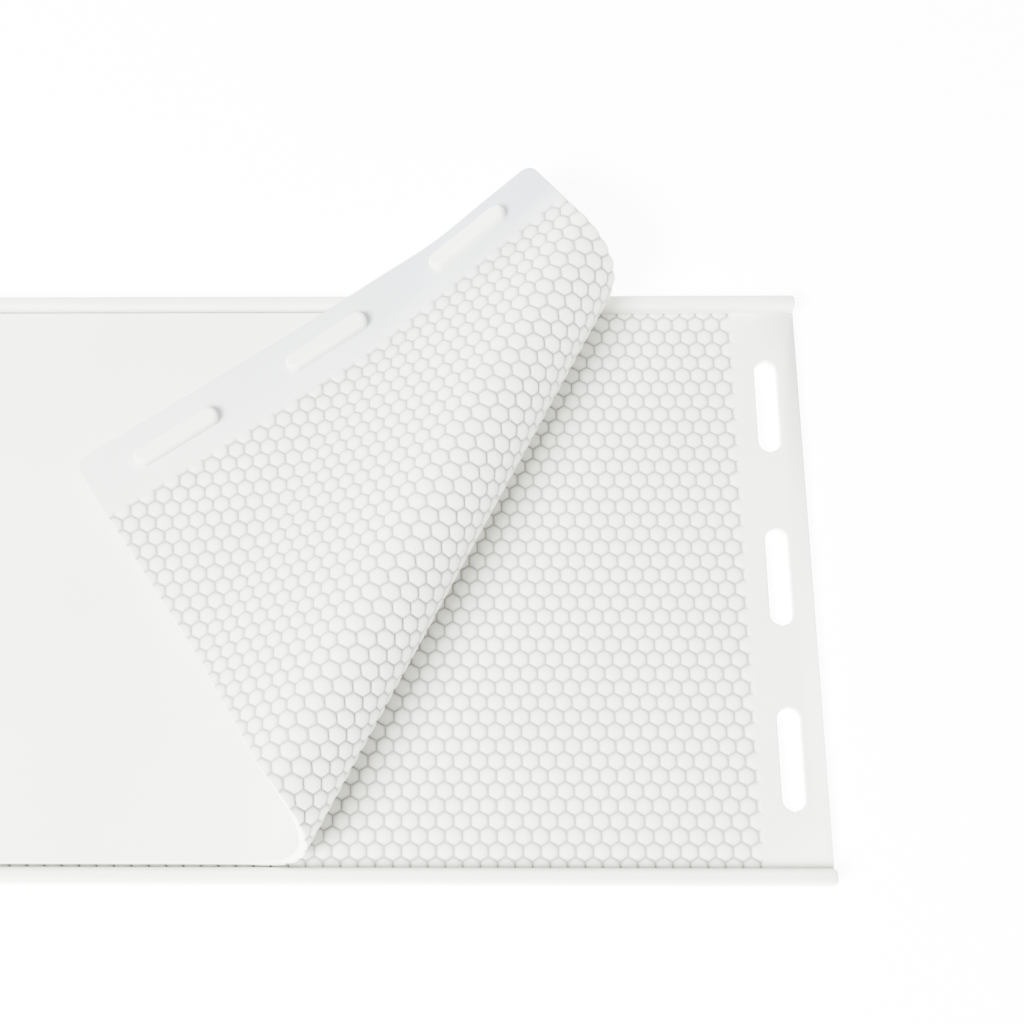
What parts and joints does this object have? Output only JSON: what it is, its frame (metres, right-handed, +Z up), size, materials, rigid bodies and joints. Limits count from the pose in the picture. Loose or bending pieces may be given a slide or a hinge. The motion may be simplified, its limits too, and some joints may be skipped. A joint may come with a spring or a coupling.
{
  "type": "beeswax foundation mould",
  "caption": "Flexible silicone mould of two embossed sheets with raised rims and pegged ends; its cover is peeled back and rolled over diagonally.",
  "frame": {"origin": "centre of the base sheet underside", "axes": "+X along the mould to the open end, +Y to the back rim, +Z up"},
  "size_m": [0.4234, 0.2377, 0.0362],
  "materials": {
    "silicone": "satin off-white translucent moulded silicone"
  },
  "bodies": {
    "base": {"base_field": "silicone", "base_margin_left": "silicone", "base_margin_right": "silicone", "front_rim": "silicone", "back_rim": "silicone"},
    "cover": {"cover_sheet": "silicone", "left_front_peg": "silicone", "left_middle_peg": "silicone", "left_back_peg": "silicone"},
    "curl_1": {"curl_strip_1": "silicone"},
    "curl_2": {"curl_strip_2": "silicone"},
    "curl_3": {"curl_strip_3": "silicone"},
    "curl_4": {"curl_strip_4": "silicone"},
    "curl_5": {"curl_strip_5": "silicone"},
    "curl_6": {"curl_strip_6": "silicone"},
    "curl_7": {"curl_strip_7": "silicone"},
    "curl_8": {"curl_strip_8": "silicone"},
    "curl_9": {"curl_strip_9": "silicone"},
    "curl_10": {"curl_strip_10": "silicone"},
    "curl_11": {"curl_strip_11": "silicone"},
    "curl_12": {"curl_strip_12": "silicone"},
    "curl_13": {"curl_strip_13": "silicone"},
    "curl_14": {"curl_strip_14": "silicone"},
    "curl_15": {"curl_strip_15": "silicone"},
    "flap_inner": {"flap_inner": "silicone", "right_back_peg": "silicone"},
    "flap_middle": {"flap_middle": "silicone", "right_middle_peg": "silicone"},
    "flap_corner": {"flap_corner": "silicone", "right_front_peg": "silicone"}
  },
  "joints": [
    {"name": "cover_lift", "type": "slide", "parent": "base", "child": "cover", "axis": [0, 0, 1], "range_m": [0, 0.03]},
    {"name": "bend_1", "type": "hinge", "parent": "cover", "child": "curl_1", "pos_m": [0.08192, 0.00071, 0.0068], "axis": [0.4695, 0.8829, 0], "range_deg": [0, 13]},
    {"name": "bend_2", "type": "hinge", "parent": "cover", "child": "curl_2", "pos_m": [0.084, 0.00141, 0.00697], "axis": [0.4695, 0.8829, 0], "range_deg": [0, 26]},
    {"name": "bend_3", "type": "hinge", "parent": "cover", "child": "curl_3", "pos_m": [0.08608, 0.00212, 0.00726], "axis": [0.4695, 0.8829, 0], "range_deg": [0, 39]},
    {"name": "bend_4", "type": "hinge", "parent": "cover", "child": "curl_4", "pos_m": [0.08816, 0.00282, 0.00767], "axis": [0.4695, 0.8829, 0], "range_deg": [0, 52]},
    {"name": "bend_5", "type": "hinge", "parent": "cover", "child": "curl_5", "pos_m": [0.09024, 0.00353, 0.0082], "axis": [0.4695, 0.8829, 0], "range_deg": [0, 65]},
    {"name": "bend_6", "type": "hinge", "parent": "cover", "child": "curl_6", "pos_m": [0.09231, 0.00424, 0.00886], "axis": [0.4695, 0.8829, 0], "range_deg": [0, 78]},
    {"name": "bend_7", "type": "hinge", "parent": "cover", "child": "curl_7", "pos_m": [0.09439, 0.00494, 0.00965], "axis": [0.4695, 0.8829, 0], "range_deg": [0, 91]},
    {"name": "bend_8", "type": "hinge", "parent": "cover", "child": "curl_8", "pos_m": [0.09647, 0.00565, 0.0106], "axis": [0.4695, 0.8829, 0], "range_deg": [0, 104]},
    {"name": "bend_9", "type": "hinge", "parent": "cover", "child": "curl_9", "pos_m": [0.09855, 0.00635, 0.01171], "axis": [0.4695, 0.8829, 0], "range_deg": [0, 117]},
    {"name": "bend_10", "type": "hinge", "parent": "cover", "child": "curl_10", "pos_m": [0.10063, 0.00706, 0.01299], "axis": [0.4695, 0.8829, 0], "range_deg": [0, 130]},
    {"name": "bend_11", "type": "hinge", "parent": "cover", "child": "curl_11", "pos_m": [0.10271, 0.00777, 0.01446], "axis": [0.4695, 0.8829, 0], "range_deg": [0, 143]},
    {"name": "bend_12", "type": "hinge", "parent": "cover", "child": "curl_12", "pos_m": [0.10479, 0.00847, 0.01616], "axis": [0.4695, 0.8829, 0], "range_deg": [0, 156]},
    {"name": "bend_13", "type": "hinge", "parent": "cover", "child": "curl_13", "pos_m": [0.10687, 0.00918, 0.01812], "axis": [0.4695, 0.8829, 0], "range_deg": [0, 169]},
    {"name": "bend_14", "type": "hinge", "parent": "cover", "child": "curl_14", "pos_m": [0.10894, 0.00988, 0.02037], "axis": [0.4695, 0.8829, 0], "range_deg": [0, 182]},
    {"name": "bend_15", "type": "hinge", "parent": "cover", "child": "curl_15", "pos_m": [0.11102, 0.01059, 0.02297], "axis": [0.4695, 0.8829, 0], "range_deg": [0, 195]},
    {"name": "peel", "type": "hinge", "parent": "cover", "child": "flap_inner", "pos_m": [0.1131, 0.0113, 0.026], "axis": [0.4695, 0.8829, 0], "range_deg": [0, 208]},
    {"name": "ease_inner", "type": "hinge", "parent": "flap_inner", "child": "flap_middle", "pos_m": [0.06136, 0.06584, 0.01324], "axis": [0.4695, 0.8829, 0], "range_deg": [-22, 0]},
    {"name": "ease_outer", "type": "hinge", "parent": "flap_middle", "child": "flap_corner", "pos_m": [0.04376, 0.09205, 0.01031], "axis": [0.4695, 0.8829, 0], "range_deg": [-8, 0]}
  ],
  "couplings": [
    {"joint": "bend_1", "follows": "peel", "ratio": 0.0625},
    {"joint": "bend_2", "follows": "peel", "ratio": 0.125},
    {"joint": "bend_3", "follows": "peel", "ratio": 0.1875},
    {"joint": "bend_4", "follows": "peel", "ratio": 0.25},
    {"joint": "bend_5", "follows": "peel", "ratio": 0.3125},
    {"joint": "bend_6", "follows": "peel", "ratio": 0.375},
    {"joint": "bend_7", "follows": "peel", "ratio": 0.4375},
    {"joint": "bend_8", "follows": "peel", "ratio": 0.5},
    {"joint": "bend_9", "follows": "peel", "ratio": 0.5625},
    {"joint": "bend_10", "follows": "peel", "ratio": 0.625},
    {"joint": "bend_11", "follows": "peel", "ratio": 0.6875},
    {"joint": "bend_12", "follows": "peel", "ratio": 0.75},
    {"joint": "bend_13", "follows": "peel", "ratio": 0.8125},
    {"joint": "bend_14", "follows": "peel", "ratio": 0.875},
    {"joint": "bend_15", "follows": "peel", "ratio": 0.9375},
    {"joint": "ease_inner", "follows": "peel", "ratio": -0.10577},
    {"joint": "ease_outer", "follows": "peel", "ratio": -0.038462}
  ]
}
